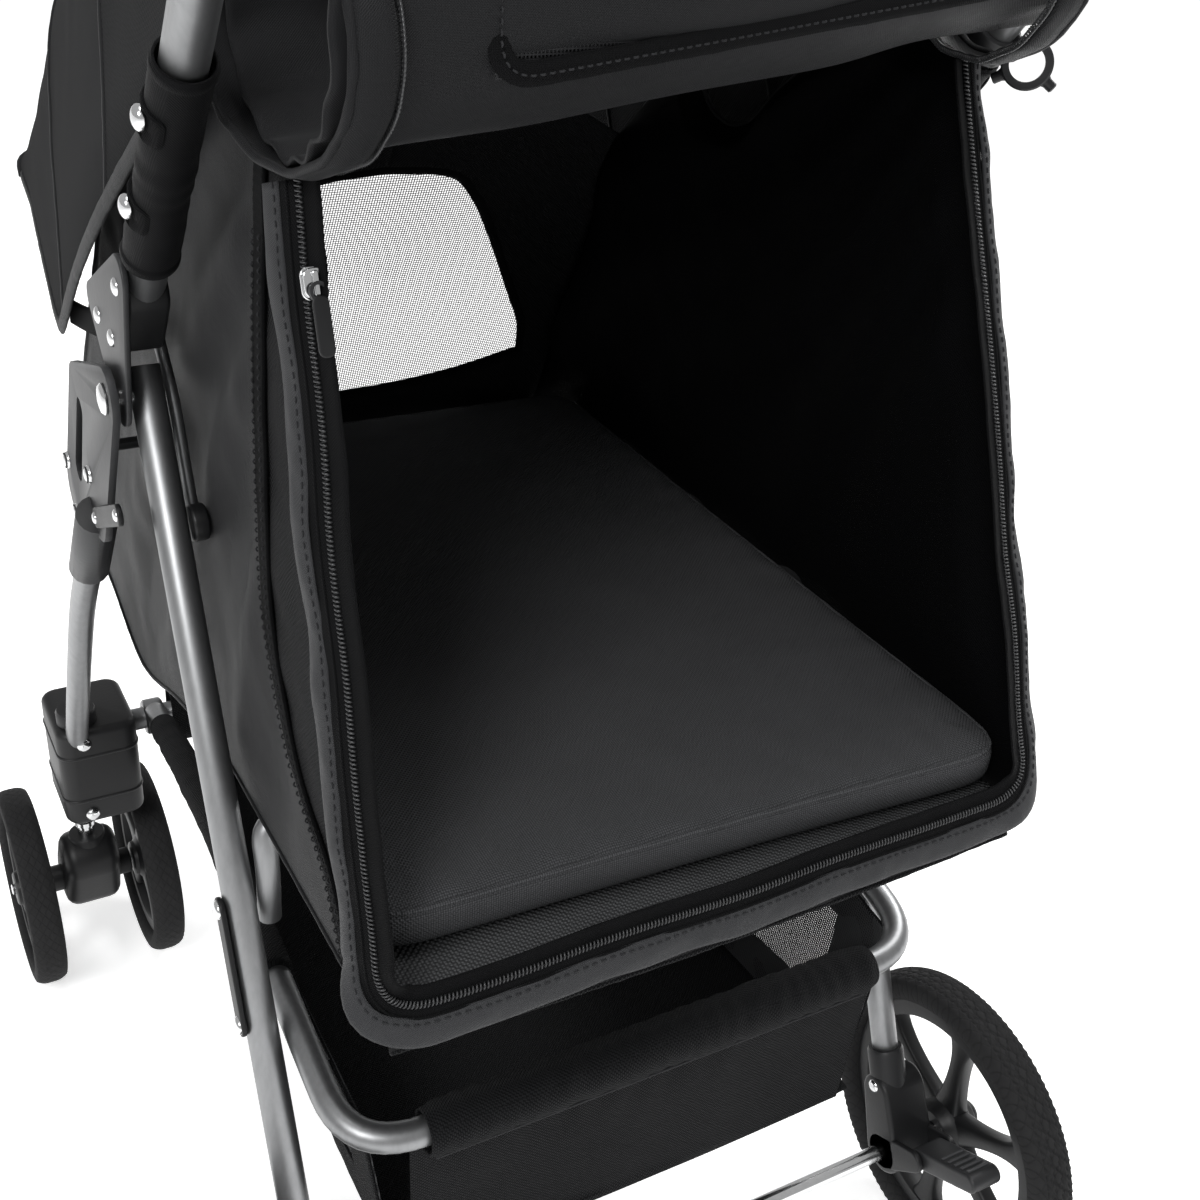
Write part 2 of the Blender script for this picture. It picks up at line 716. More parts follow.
def both_ways(half):
    """A whole profile of (radius, axial) pairs from its outer half."""
    return [(r, -h) for r, h in half] + [(r, h) for r, h in reversed(half)]


def make_frame_tubes():
    """Silver tubes on their CAD centre lines."""
    for tag, s in SIDES:
        shape = Shape()
        foot = vec(s * REAR_LEG_X, *on_leg(112)) / MM
        top = vec(s * REAR_LEG_X, *on_leg(596)) / MM
        length = (top - foot).length
        profile = [(7.2, 0), (8, 0.8), (8, length - 0.5), (7.6, length), (6.7, length), (6.5, length - 1),
                   (6.5, length - 26)]
        lathe(shape, profile, foot, (top - foot).normalized())
        shape.make(f"rear_leg_{tag}_tube", "silver", "rear_frame", 45, [f"rear_leg_{tag}"])
        path = [vec(s * FRONT_LEG_X, y, z) for y, z in FRONT_LEG_PATH]
        tube_piece(f"front_leg_{tag}_tube", [f"front_leg_{tag}"], path, 7.5, 30, "chassis")
    half = [vec(HANDLE_X, *spot) for spot in (HANDLE_START, HANDLE_BEND, CROSSBAR)]
    tube_piece("handle_bow", ["handle_tube"], half + mirrored(half), HANDLE_R, 42, "handle")
    bar = [vec(x, *CROSS_TUBE) for x in (-186, 0, 186)]
    tube_piece("cross_tube_bar", ["front_cross_tube"], bar, 8, 0, "chassis")
    y, z = on_leg(338)
    side = [vec(173.3, y + 6, z), vec(173.3, y + 4, 372), vec(173.3, -104, 394)]
    tube_piece("support_loop", ["support_tube"], side + mirrored(side), 6, 22, "rear_frame", sides=20)
    arm = [vec(*p) for p in reversed(RING_ARM)]
    half = arm[:-1] + [vec(171, *RING_REAR)]
    shape = Shape()
    shape.sweep(rounded(half + mirrored(half), 38, 10), 7.5 * MM, 24, first_normal=AXIS_X)
    for s in (1, -1):
        shape.turned([(8.4, -7), (8.4, 7), (11.6, 7), (13, 5.6), (13, -5.6), (11.6, -7)],
                     Vector((s * 145, *CROSS_TUBE)), 40)
    shape.make("basket_ring_tube", "silver", "basket", 50, ["basket_ring"])


def make_handle_grip():
    """Foam grip with pressed rings near each end."""
    shape = Shape()
    half = 118
    profile = [(9.4, -half + 0.6), (14.2, -half), (15.4, -half + 1.2)]
    for i in range(1, 60):
        h = -half + 1.2 + (2 * half - 2.4) * i / 60
        near_end = abs(h) > 96
        groove = 0.9 * max(0.0, sin(h * 0.9)) if near_end else 0.0
        profile.append((16 - groove - 0.25 * sin(h * 0.05) ** 2, h))
    profile += [(15.4, half - 1.2), (14.2, half), (9.4, half - 0.6)]
    shape.turned(profile, Vector((0, *CROSSBAR)), 48)
    grip = shape.make("handle_foam", "foam", "handle", 50, ["handle_grip"])


def tyre_rings(shape, x, centre, radius, width, segments, lugs, depth):
    """A tyre whose crown carries a raised diamond tread."""
    half = width / 2
    bead = radius - width * BEAD_SHARE
    wall = [(bead, half * 0.60), (bead + 1.5, half * 0.82), (bead + 4, half * 0.94), (radius - 9, half),
            (radius - 5, half * 0.97)]
    crown = [(radius - 3.0 * abs(v) ** 3.2, v * half * 0.92) for v in (i / 10 for i in range(-10, 11))]
    section = [(r, -h) for r, h in wall] + crown + [(r, h) for r, h in reversed(wall)]
    rings = []
    for a in angles(segments):
        ring = []
        for r, h in section:
            share = clamp((r - (radius - 6)) / 3)
            left = abs(sin(lugs * a / 2 + h * 0.30))
            right = abs(sin(lugs * a / 2 - h * 0.30))
            cut = share * depth * (1 - min(min(left, right) / 0.42, 1.0))
            ring.append(vec(x + h, centre[0] + (r - cut) * cos(a), centre[1] + (r - cut) * sin(a)))
        rings.append(ring)
    shape.grid(rings, wrap_rows=True, wrap_columns=True)


def rim_shape(shape, x, centre, radius, width, bore, spokes):
    """A spoked wheel: channelled ring, tapered ribbed spokes and a stepped hub."""
    middle = Vector((x, *centre))
    w = width / 2
    ring = [(radius - 11, w * 0.7), (radius - 10, w * 0.95), (radius - 4, w), (radius - 0.4, w * 0.9)]
    shape.turned(both_ways(ring), middle, 96)
    hub = bore + 9
    boss = [(bore, w * 1.7), (hub - 2, w * 1.75), (hub - 0.6, w * 1.6), (hub, w * 1.2), (hub + 4, w * 0.75)]
    shape.turned(both_ways(boss), middle, 48)
    for i in range(spokes):
        a = 2 * pi * i / spokes + pi / 2
        out = Vector((0, cos(a), sin(a)))
        side = Vector((0, -sin(a), cos(a)))
        rings = []
        for k in range(15):
            t = k / 14
            r = hub - 1 + (radius - 9 - hub) * t
            flare = (1 - t) ** 3 * 5 + t ** 6 * 7
            breadth = 6.2 - 1.6 * t + flare
            deep = w * (0.86 - 0.12 * sin(pi * t))
            ring = []
            for b in angles(16):
                across = squared(cos(b), 0.5) * breadth
                thick = squared(sin(b), 0.5) * deep
                ring.append((middle + out * r + side * across + AXIS_X * thick) * MM)
            rings.append(ring)
        shape.loft(rings)


def wheel_skin(name, x, centre, diamonds, dark, light):
    """Registers a tyre's own foam, whose tread runs round its axle."""
    MAT[name] = wheel_foam(name, x, centre, diamonds, dark, light), "tyre"
    return name


def make_wheels():
    rear_rim = (REAR_WHEEL_R - REAR_WHEEL_W * BEAD_SHARE, REAR_WHEEL_W * RIM_SHARE)
    castor_rim = (CASTOR_WHEEL_R - CASTOR_WHEEL_W * BEAD_SHARE, CASTOR_WHEEL_W * RIM_SHARE)
    for tag, s in SIDES:
        x = s * REAR_WHEEL_X
        body = f"rear_wheel_{tag}"
        skin = wheel_skin(f"rear_tyre_foam_{tag}", x, REAR_AXLE, 30, (0.006, 0.006, 0.0065),
                          (0.022, 0.022, 0.0225))
        tyre = Shape()
        tyre_rings(tyre, x, REAR_AXLE, REAR_WHEEL_R, REAR_WHEEL_W, 240, 60, 1.5)
        tyre.make(f"rear_tyre_{tag}_foam", skin, body, 35, [f"rear_tyre_{tag}"])
        rim = Shape()
        rim_shape(rim, x, REAR_AXLE, *rear_rim, 5.4, 6)
        rim.make(f"rear_rim_{tag}_spoked", "black", body, 40, [f"rear_rim_{tag}"])
        for place, way in (("outer", 1), ("inner", -1)):
            x = s * (CASTOR_X + way * CASTOR_WHEEL_OFFSET)
            wheel = f"castor_wheel_{place}_{tag}"
            skin = wheel_skin(f"{wheel}_foam", x, CASTOR_AXLE, 26, (0.007, 0.007, 0.0075),
                              (0.024, 0.024, 0.0245))
            tyre = Shape()
            tyre_rings(tyre, x, CASTOR_AXLE, CASTOR_WHEEL_R, CASTOR_WHEEL_W, 180, 52, 0.8)
            tyre.make(f"{wheel}_tyre", skin, wheel + "_body", 35, [wheel])
            rim = Shape()
            rim_shape(rim, x, CASTOR_AXLE, *castor_rim, 4.4, 5)
            rim.make(f"{wheel}_rim", "black", wheel + "_body", 40)


def make_rear_hardware():
    ay, az = REAR_AXLE
    shape = Shape()
    lathe(shape, both_ways([(4.2, 250), (5, 249.2)]), Vector((0, ay, az)), AXIS_X, 28)
    shape.make("rear_axle_rod", "steel", "rear_frame", 40, ["rear_axle"])
    caps = Shape()
    for s in (1, -1):
        caps.dome(vec(s * 246.6, ay, az), AXIS_X * s, 9 * MM, 4.6 * MM, 32)
    caps.make("rear_axle_caps", "black", "rear_frame", 60)
    for tag, s in SIDES:
        bracket = Shape()
        plate(bracket, [(ay, az, 15), (*on_leg(136), 12)], s * 176, s * 207, 3.0)
        for x in (176, 203):
            plate(bracket, [(ay, az, 12), (ay - 26, az + 18, 7)], s * x, s * (x + 4), 1.2)
        lathe(bracket, [(10.5, 0), (11.2, 0.8), (11.2, 44), (10.2, 46), (8.2, 46)],
              Vector((s * REAR_LEG_X, *on_leg(120))), Vector((0, LEG_RUN.x, LEG_RUN.y)), 32)
        bracket.make(f"wheel_bracket_{tag}_moulded", "black", "rear_frame", 40, [f"wheel_bracket_{tag}"])
        pair = [(s * 206.6, *on_leg(141), (s, 0, 0)), (s * 176.4, *on_leg(141), (-s, 0, 0))]
        rivets(f"wheel_bracket_{tag}_rivets", pair, "rear_frame", 4.2, 2.4)
        pedal = Shape()
        plate(pedal, [(ay - 26, az + 18, 6.5), (ay - 66, az + 40, 6)], s * 180.6, s * 202.4, 2.0)
        for k in range(5):
            y = ay - 42 - 5 * k
            z = az + 18 + 22 * (16 + 5 * k) / 40 + 7.0
            pedal.sweep([vec(s * 183.5, y, z), vec(s * 199.5, y, z)], 1.1 * MM, 10)
        pedal.make(f"brake_pedal_{tag}_ribbed", "grey", f"brake_pedal_{tag}_body", 40, [f"brake_pedal_{tag}"])
        ends = [on_leg(352), on_leg(296)]
        plate_piece(f"leg_strip_{tag}_moulded", f"leg_strip_{tag}", "black", "rear_frame",
                    [(*end, 6.2) for end in ends], s * 196.3, s * 199, 0.8)
        side_rivets(f"leg_strip_{tag}_rivets", 199, s, ends, "rear_frame", 5.0, 2.6)


def make_hinge_hardware():
    for tag, s in SIDES:
        steel = Shape()
        head = [(7.4, 207.9), (7.5, 208.6), (6.2, 209.9), (3.0, 210.5)]
        lathe(steel, [(3.4, 184), (4, 184.8), (4, 207.6)] + head, Vector((0, *HINGE)), AXIS_X * s, 32)
        steel.make(f"hinge_pin_{tag}_turned", "steel", "chassis", 40, [f"hinge_pin_{tag}"])
        bevelled(f"front_bracket_{tag}", "grey", "chassis")
        side_rivets(f"front_bracket_{tag}_rivets", 207.5, s, [(52, 518), (112, 500), (100, 474)], "chassis")
        ends = [(34, 502), (-22, 530)]
        plate_piece(f"leg_link_{tag}_moulded", f"leg_link_{tag}", "black", "chassis",
                    [(*end, 5.4) for end in ends], s * 207.9, s * 210.6, 0.8)
        side_rivets(f"leg_link_{tag}_rivets", 210.5, s, ends, "chassis", 3.2, 1.6)
        plate_piece(f"joint_block_{tag}_moulded", f"joint_block_{tag}", "black", "handle",
                    [(-8, 615, 9.8), (*on_handle(5), 10.8)], s * 179.0, s * 198, 2.2)
        plate_piece(f"hinge_plate_{tag}_pressed", f"hinge_plate_{tag}", "grey", "handle",
                    [(*HINGE, 14), (*on_handle(18), 11), (32, 618, 8)], s * 198.3, s * 201.2, 0.9)
        spots = [(-8, 612), on_handle(12), (18, 614)]
        side_rivets(f"hinge_plate_{tag}_rivets", 201, s, spots, "handle", 4.3, 2.1)
        rod = Shape()
        path = [(19, 602), (-4, 576), (-14, 549), (-26, 521)]
        rod.sweep(rounded([vec(s * 174.6, *p) for p in path], 18, 10), 3 * MM, 18)
        for p in (path[0], path[-1]):
            rod.dome(vec(s * 177.2, *p), AXIS_X * s, 4.2 * MM, 1.5 * MM, 16)
        lever = f"lock_lever_{tag}"
        rod.make(f"{lever}_rod", "silver", f"{lever}_body", 40, [lever])
        plate_piece(f"{lever}_block", None, "black", f"{lever}_body", [(*on_leg(526), 9), (-14, 514, 8)],
                    s * 171.4, s * 179.4, 1.6)
    make_clip()


def make_clip():
    """The clip on the right handle tube: a collar, an arm and an open ring with three lugs."""
    clip = Shape()
    run = Vector((0, HANDLE_RUN.x, HANDLE_RUN.y))
    collar = Vector((HANDLE_X, *on_handle(155)))
    clip.turned([(9.2, -7), (9.2, 7), (11.8, 7), (12.4, 6), (12.4, -6), (11.8, -7)], collar, 40, run)
    ring = Vector((200, -135, 742))
    axis = Vector((0.68, 0.72, -0.15)).normalized()
    clip.turned([(8.2, -5), (8.2, 5), (11.2, 5), (12, 4.2), (12, -4.2), (11.2, -5)], ring, 48, axis)
    clip.sweep([(collar + (ring - collar) * t) * MM for t in (0.40, 0.5, 0.62)], 4.4 * MM, 16, 0.8)
    first = axis.cross(AXIS_Z).normalized()
    second = axis.cross(first)
    for a in (35, 150, 235):
        out = first * cos(radians(a)) + second * sin(radians(a))
        clip.sweep([(ring + out * r) * MM for r in (11, 13, 16.4, 17)],
                   [3.4 * MM, 2.6 * MM, 2.6 * MM, 1.8 * MM], 12)
    clip.make("fold_clip_moulded", "black", "handle", 40, ["fold_clip"])


def make_castor_hardware():
    ay, az = CASTOR_AXLE
    for tag, s in SIDES:
        x = s * CASTOR_X
        castor = f"castor_{tag}"
        axle = Vector((x, ay, az))
        post = Vector((x, CROSS_TUBE[0], 0))
        housing = Shape()
        low, high = sorted((s * 165, s * 220))
        rounded_box(housing, (low, 226, 163), (high, 292, 242), 11, 5)
        for z in (184, 221):
            rounded_box(housing, (low - 0.8, 225.2, z - 1.4), (high + 0.8, 292.8, z + 1.4), 11.5, 1.3)
        lathe(housing, [(13.5, 240), (13.5, 250), (12.4, 252), (8.6, 252)], Vector((x, 244, 0)), AXIS_Z, 32)
        housing.make(f"castor_housing_{tag}_moulded", "black", "chassis", 40, [f"castor_housing_{tag}"])
        pair = [(x, 225.2, z, (0, -1, 0)) for z in (232, 172)]
        rivets(f"castor_housing_{tag}_rivets", pair, "chassis", 5, 2.8)
        stem = Shape()
        collar = [(6, 130), (7.4, 130.5), (7.4, 134), (6, 134.5)]
        lathe(stem, [(5.4, 92.4), (6, 93)] + collar + [(6, 189.4), (5.4, 190)], post, AXIS_Z, 28)
        stem.make(f"castor_stem_{tag}_turned", "steel", castor, 40, [f"castor_stem_{tag}"])
        yoke = Shape()
        lathe(yoke, [(14.6, 94), (14.8, 108), (13.2, 121), (12.4, 122), (6.6, 122)], post, AXIS_Z, 36)
        plate(yoke, [(CROSS_TUBE[0], 100, 21), (ay, az, 24)], x - 20, x + 20, 9.0)
        lathe(yoke, both_ways([(9, 31), (10, 30)]), axle, AXIS_X, 32)
        yoke.make(f"castor_yoke_{tag}_moulded", "black", castor, 40, [f"castor_yoke_{tag}"])
        pin = Shape()
        lathe(pin, both_ways([(3.2, 57), (4, 56.4)]), axle, AXIS_X, 24)
        pin.make(f"castor_axle_{tag}", "steel", castor, 40)


make_frame_tubes()
make_handle_grip()
make_wheels()
make_rear_hardware()
make_hinge_hardware()
make_castor_hardware()


# ---------------------------------------------------------------- cloth helpers
def side_out(z):
    """Half-width of the cabin at a height, mm."""
    return 174.0 - (z - 420.0) * 0.05


def smooth_curve(points, count):
    """Even points along a soft curve through the given ones."""
    padded = [2 * points[0] - points[1]] + list(points) + [2 * points[-1] - points[-2]]
    dense = []
    for a, b, c, d in zip(padded, padded[1:], padded[2:], padded[3:]):
        for k in range(12):
            t = k / 12
            dense.append(0.5 * (2 * b + (c - a) * t + (2 * a - 5 * b + 4 * c - d) * t * t
                                + (3 * b - a - 3 * c + d) * t ** 3))
    dense.append(points[-1])
    return resampled(dense, count)


def coons(low, high, left, right, columns, rows):
    """A patch between four boundary curves as rows of points; low and high run along the columns."""
    low, high = smooth_curve(low, columns), smooth_curve(high, columns)
    left, right = smooth_curve(left, rows), smooth_curve(right, rows)
    grid = []
    for i in range(rows):
        v = i / (rows - 1)
        row = []
        for j in range(columns):
            u = j / (columns - 1)
            flat = (low[0] * (1 - u) * (1 - v) + low[-1] * u * (1 - v)
                    + high[0] * (1 - u) * v + high[-1] * u * v)
            row.append(low[j] * (1 - v) + high[j] * v + left[i] * (1 - u) + right[i] * u - flat)
        grid.append(row)
    return grid


def grid_normal(grid, i, j):
    rows, columns = len(grid), len(grid[0])
    along = grid[i][min(j + 1, columns - 1)] - grid[i][max(j - 1, 0)]
    across = grid[min(i + 1, rows - 1)][j] - grid[max(i - 1, 0)][j]
    normal = along.cross(across)
    return normal.normalized() if normal.length > 1e-12 else AXIS_Z


def ruffled(grid, depth):
    """The grid moved along its normals by depth(u, v, point) in mm."""
    rows, columns = len(grid), len(grid[0])
    return [[grid[i][j] + grid_normal(grid, i, j) * depth(j / (columns - 1), i / (rows - 1), grid[i][j]) * MM
             for j in range(columns)] for i in range(rows)]


def inside(u, v, band=0.12):
    """0 at the patch's edges and 1 well inside it."""
    near = clamp(min(u, 1 - u, v, 1 - v) / band)
    return near * near * (3 - 2 * near)


def run_length(points):
    return sum((b - a).length for a, b in zip(points, points[1:]))


def cloth(name, grid, material, thickness=1.4, body="chassis", nodes=(), wrap=False,
          folding=True):
    """A sewn panel: a thin two-faced sheet made from a grid of points. Cabin cloth folds with the frame."""
    shape = Shape()
    shape.grid(grid, wrap_columns=wrap)
    piece = shape.make(name, material, body, nodes=nodes)
    thicken(piece, thickness * MM)
    if folding and body == "chassis":
        fold(piece)


def cord_line(name, path, radius, material, flatten=1.0, pucker=0.0, sides=10, normal=None, body="chassis"):
    """Piping, binding or a seam: a thin sewn bar along a path."""
    path = resampled(path, max(8, int(run_length(path) / 0.003)))
    radii = [(radius + pucker * ripple(p, 160.0, 4.0)) * MM for p in path]
    shape = Shape()
    shape.sweep(path, radii, sides, flatten, normal)
    piece = shape.make(name, material, body)
    if body == "chassis":
        fold(piece)


def stitches(name, path, lift, pitch=4.4):
    """A dashed line of thread lying on the cabin's cloth, lifted off it by a vector in mm."""
    count = int(run_length(path) / (pitch * MM))
    points = resampled(path, count * 2 + 1)
    low = lift * 0.2 * MM
    shape = Shape()
    for a, b in zip(points[::2], points[1::2]):
        middle = a.lerp(b, 0.5) + lift * MM
        shape.sweep([a + low, a.lerp(middle, 0.6) + low, middle, b + low], 0.42 * MM, 6)
    fold(shape.make(name, "thread", "chassis"))


# ---------------------------------------------------------------- cabin walls
SEAM = [(-236, 402), (-205, 439), (-157, 469), (-123, 521), (-114, 584), (-111, 641), (-112, 690),
        (-113, 727)]
REAR_EDGE = [(-262, 404), (-218, 527), (-175, 647), (-150, 718)]
UNDER_EDGE = [(-236, 402), (-117, 400), (-40, 396), (42, 376), (125, 352), (205, 370), (262, 378), (300, 405)]
UPPER_EDGE = [(-113, 727), (-92, 738), (-74, 744), (-50, 738), (-22, 718), (0, 702), (22, 682), (46, 675),
              (68, 682), (88, 702), (126, 676), (164, 640)]
FRONT_EDGE = [(300, 405), (284, 434), (253, 488), (222, 542), (193, 590), (164, 640)]
RIGHT_RISE = 30.0


def wall(s, pairs, inset=1.5):
    """Points on a side wall. The right wall's top rear corner stands higher, beside the rolled door."""
    points = []
    for y, z in pairs:
        rise = RIGHT_RISE * clamp((z - 640) / 80) * clamp((-70 - y) / 40) if s > 0 else 0.0
        points.append(vec(s * (side_out(z + rise) - inset), y + rise * OPENING_LEAN * 0.8, z + rise))
    return points


def drawn_folds(p, seed):
    """Long soft folds that fan out from the top rear corner of a side wall."""
    angle = atan2(p.z - 0.80, p.y + 0.20)
    reach = hypot(p.z - 0.80, p.y + 0.20)
    return sin(angle * 26.0 + 3.0 * ripple(p, 6.0, seed)) * min(reach / 0.16, 1.0)


def make_lining(tag, s, seed):
    """The inner cloth of a side wall, held close at its edges and beside the cushion."""
    low = REAR_EDGE[:1] + [(y, max(z, 409)) for y, z in UNDER_EDGE[1:]]
    high = REAR_EDGE[-1:] + UPPER_EDGE[1:]
    whole = coons(*[wall(s, edge, 3.4) for edge in (low, high, REAR_EDGE, FRONT_EDGE)], 120, 96)
    last_row = len(whole) - 1
    last_column = len(whole[0]) - 1
    for i, row in enumerate(whole):
        for j, p in enumerate(row):
            slack = 9.5 + 2.4 * drawn_folds(p, seed + 5)
            slack += 3.0 * ripple(p, 13.0, seed + 2) + ripple(p, 40.0, seed)
            share = inside(j / last_column, i / last_row, 0.05) * clamp((p.z / MM - 430) / 50)
            row[j] = p - vec(s * share * slack, 0, 0)
    cloth(f"cabin_side_{tag}_lining", whole, "inner", 1.0)


def make_cabin_sides():
    for tag, s in SIDES:
        seed = 3.0 if s > 0 else 8.0

        def rear_depth(u, v, p):
            pull = sin(v * 46.0 + 2.5 * ripple(p, 14.0, seed)) * (1 - min(u, 1 - u) * 2) ** 2
            soft = 1.9 * ripple(p, 22.0, seed) + 1.0 * ripple(p, 60.0, seed)
            return inside(u, v, 0.1) * soft + 0.5 * pull

        def front_depth(u, v, p):
            folds = 2.6 * drawn_folds(p, seed) + 3.0 * ripple(p, 12.0, seed) + 1.2 * ripple(p, 40.0, seed)
            return inside(u, v, 0.1) * (min(folds, 2.4) - 0.6)

        rear = coons(wall(s, [(-262, 404), (-249, 403), (-236, 402)]),
                     wall(s, [(-150, 718), (-131, 722), (-113, 727)]),
                     wall(s, REAR_EDGE), wall(s, SEAM), 26, 96)
        cloth(f"cabin_side_{tag}_rear_panel", ruffled(rear, rear_depth), "oxford",
              nodes=[f"cabin_side_{tag}"])
        front = coons(wall(s, UNDER_EDGE), wall(s, UPPER_EDGE), wall(s, SEAM), wall(s, FRONT_EDGE), 110, 92)
        cloth(f"cabin_side_{tag}_front_panel", ruffled(front, front_depth), "satin")
        make_lining(tag, s, seed)
        edges = [[(y + shift, z) for y, z in SEAM] for shift in (-6, 6)]
        edges += [[(y - 6, z), (y + 6, z)] for y, z in (SEAM[0], SEAM[-1])]
        webbing = coons(*[wall(s, edge, -0.8) for edge in edges], 200, 7)
        webbing = ruffled(webbing, lambda u, v, p: 0.5 * ripple(p, 50.0, seed) + 0.12 * sin(u * 620))
        cloth(f"cabin_side_{tag}_webbing", webbing, "tape", 1.6)
        for shift in (-4.4, 4.4):
            run = smooth_curve(wall(s, [(y + shift, z) for y, z in SEAM[:-1]], -1.9), 200)
            stitches(f"cabin_side_{tag}_stitch_{'a' if shift < 0 else 'b'}", run, AXIS_X * s)
        for part, run in (("under", UNDER_EDGE), ("upper", UPPER_EDGE), ("front", FRONT_EDGE)):
            hem = smooth_curve(wall(s, run, 1.5), 120)
            cord_line(f"cabin_side_{tag}_{part}_hem", hem, 2.4, "satin", 0.55, pucker=0.35)


# ---------------------------------------------------------------- opening, zip and piping
PLANE_UP = Vector((0, OPENING_LEAN, 1)).normalized()
PLANE_OUT = Vector((0, -1, OPENING_LEAN)).normalized()
ZIP_TOP_L = 716.0
ZIP_TOP_R = 746.0
ZIP_LOW = 406.0
SILL_RISE = 5.0


def opening_path(inset, lift, low=ZIP_LOW, corner=25.0, tops=(ZIP_TOP_L, ZIP_TOP_R)):
    """The U round the rear opening, from the top left to the top right, in metres."""
    def at(x, z):
        return vec(x, OPENING_FOOT[0] + (z - OPENING_FOOT[1]) * OPENING_LEAN, z) + PLANE_OUT * lift * MM
    base = low + inset
    left = [at(-(side_out(z) - inset), z) for z in (tops[0], 600, base)]
    right = [at(side_out(z) - inset, z) for z in (base + SILL_RISE, 600, tops[1])]
    line = resampled(rounded(left + right, corner, 12), 420)
    return [p + vec(1.6 * ripple(p, 17.0, 3.0), 0, 1.9 * ripple(p, 19.0, 6.0)) for p in line]


def sill_share(path, i):
    """0 where the path climbs a side of the opening and 1 along its sill."""
    along = (path[min(i + 1, len(path) - 1)] - path[max(i - 1, 0)]).normalized()
    return min(abs(along.x) * 1.1, 1.0)


def edge_frame(path, i):
    """Outward direction along the cloth, and the way the cloth faces, at a station of the opening's edge.

    The bands wrap on to the side walls, and face the rear along the sill.
    """
    along = (path[min(i + 1, len(path) - 1)] - path[max(i - 1, 0)]).normalized()
    in_plane = along.cross(PLANE_OUT).normalized()
    sill = sill_share(path, i)
    splay = 1.5 if path[i].x > 0 else 0.30
    out = (in_plane * (splay + (1 - splay) * sill) - PLANE_OUT * (1 - sill)).normalized()
    out = (out - along * out.dot(along)).normalized()
    return out, out.cross(along).normalized()


def ribbon(path, inner, outer, columns, height):
    """A band beside a path: height(share, i, point) lifts it off the cloth under it, in mm.

    inner and outer are its edges' distances from the path, at the sides and at the sill.
    """
    grid = []
    for i, p in enumerate(path):
        out, face = edge_frame(path, i)
        flat = sill_share(path, i)
        near = inner[0] + (inner[1] - inner[0]) * flat
        far = outer[0] + (outer[1] - outer[0]) * flat
        row = []
        for k in range(columns):
            share = k / (columns - 1)
            spot = p + out * (near + (far - near) * share) * MM
            row.append(spot + face * height(share, i, spot) * MM)
        grid.append(row)
    return grid


def beside(path, offset, lift):
    line = []
    for i, p in enumerate(path):
        out, face = edge_frame(path, i)
        line.append(p + out * offset * MM + face * lift * MM)
    return line


def make_zip():
    line = opening_path(1.0, 0.6)
    tape = ribbon(line, (0.2, 0.2), (10.9, 4.6), 7,
                  lambda t, i, p: 0.45 + 0.85 * min(t * 3, 1.0) + 0.35 * ripple(p, 70.0, 2.0) * t)
    cloth("zip_tape_woven", tape, "tape", 1.0, nodes=["zip_tape"])
    inner_tape = ribbon(line, (-11.8, -9.0), (3.0, -0.6), 6,
                        lambda t, i, p: -0.4 + 0.4 * ripple(p, 60.0, 5.0))
    cloth("zip_tape_turned_in", inner_tape, "tape", 0.9)
    coil = Shape()
    dense = resampled(line, 5600)
    turns = run_length(line) / 0.0018
    path = []
    for i, p in enumerate(dense):
        a = 2 * pi * turns * i / len(dense)
        out, face = edge_frame(line, min(int(i * len(line) / len(dense)), len(line) - 1))
        path.append(p + out * (-1.0 + 1.5 * cos(a)) * MM + face * (0.9 + 0.9 * sin(a)) * MM)
    coil.sweep(path, 0.46 * MM, 5)
    fold(coil.make("zip_coil", "zip", "chassis"))
    cord_line("zip_tape_ridge", beside(line, 4.4, 1.9), 0.8, "tape", sides=6)

    def band_height(t, i, p):
        bulge = 1.3 * sin(pi * t) ** 0.7
        return 1.6 + bulge + 1.5 * ripple(p, 40.0, 1.0) + 0.7 * ripple(p, 120.0, 6.0) * sin(pi * t)

    band = ribbon(line, (9.4, 4.0), (19.6, 16.6), 11, band_height)
    for i, row in enumerate(band):
        out = edge_frame(line, i)[0]
        for k, p in enumerate(row):
            row[k] = p + out * 1.2 * ripple(p, 34.0, 8.0) * (k / 10) * MM
    cloth("opening_piping", band, "binding", 1.1)
    seam = [row[2] + edge_frame(line, i)[1] * 0.7 * MM for i, row in enumerate(band)]
    stitches("opening_piping_stitch", resampled(seam, 900), PLANE_OUT * 0.2, 4.6)
    make_lower_binding()


def make_lower_binding():
    """Binding under the zip at the cabin's rear sill, with a stitched edge."""
    def depth(u, v, p):
        return 0.9 * ripple(p, 45.0, 9.0) + 0.5 * sin(u * 180 + 3 * ripple(p, 20.0, 2.0)) * v

    low = [vec(x, -258.0, 382 + 5 * (x / 172) ** 2 + x * SILL_RISE / 344) for x in (-168, -85, 0, 85, 168)]
    high = [vec(x, -261.0, 397 + 5 * (x / 172) ** 4 + x * SILL_RISE / 344) for x in (-172, -86, 0, 86, 172)]
    grid = coons(low, high, [low[0], high[0]], [low[-1], high[-1]], 240, 9)
    cloth("sill_binding", ruffled(grid, depth), "oxford", 1.6)
    stitches("sill_stitch", smooth_curve([p + vec(0, -1.4, 4.5) for p in low], 300), Vector((0, -1, 0.2)))
    hem = smooth_curve([p + vec(0, 0, -0.5) for p in low], 240)
    cord_line("sill_hem", hem, 1.6, "oxford", pucker=0.4)


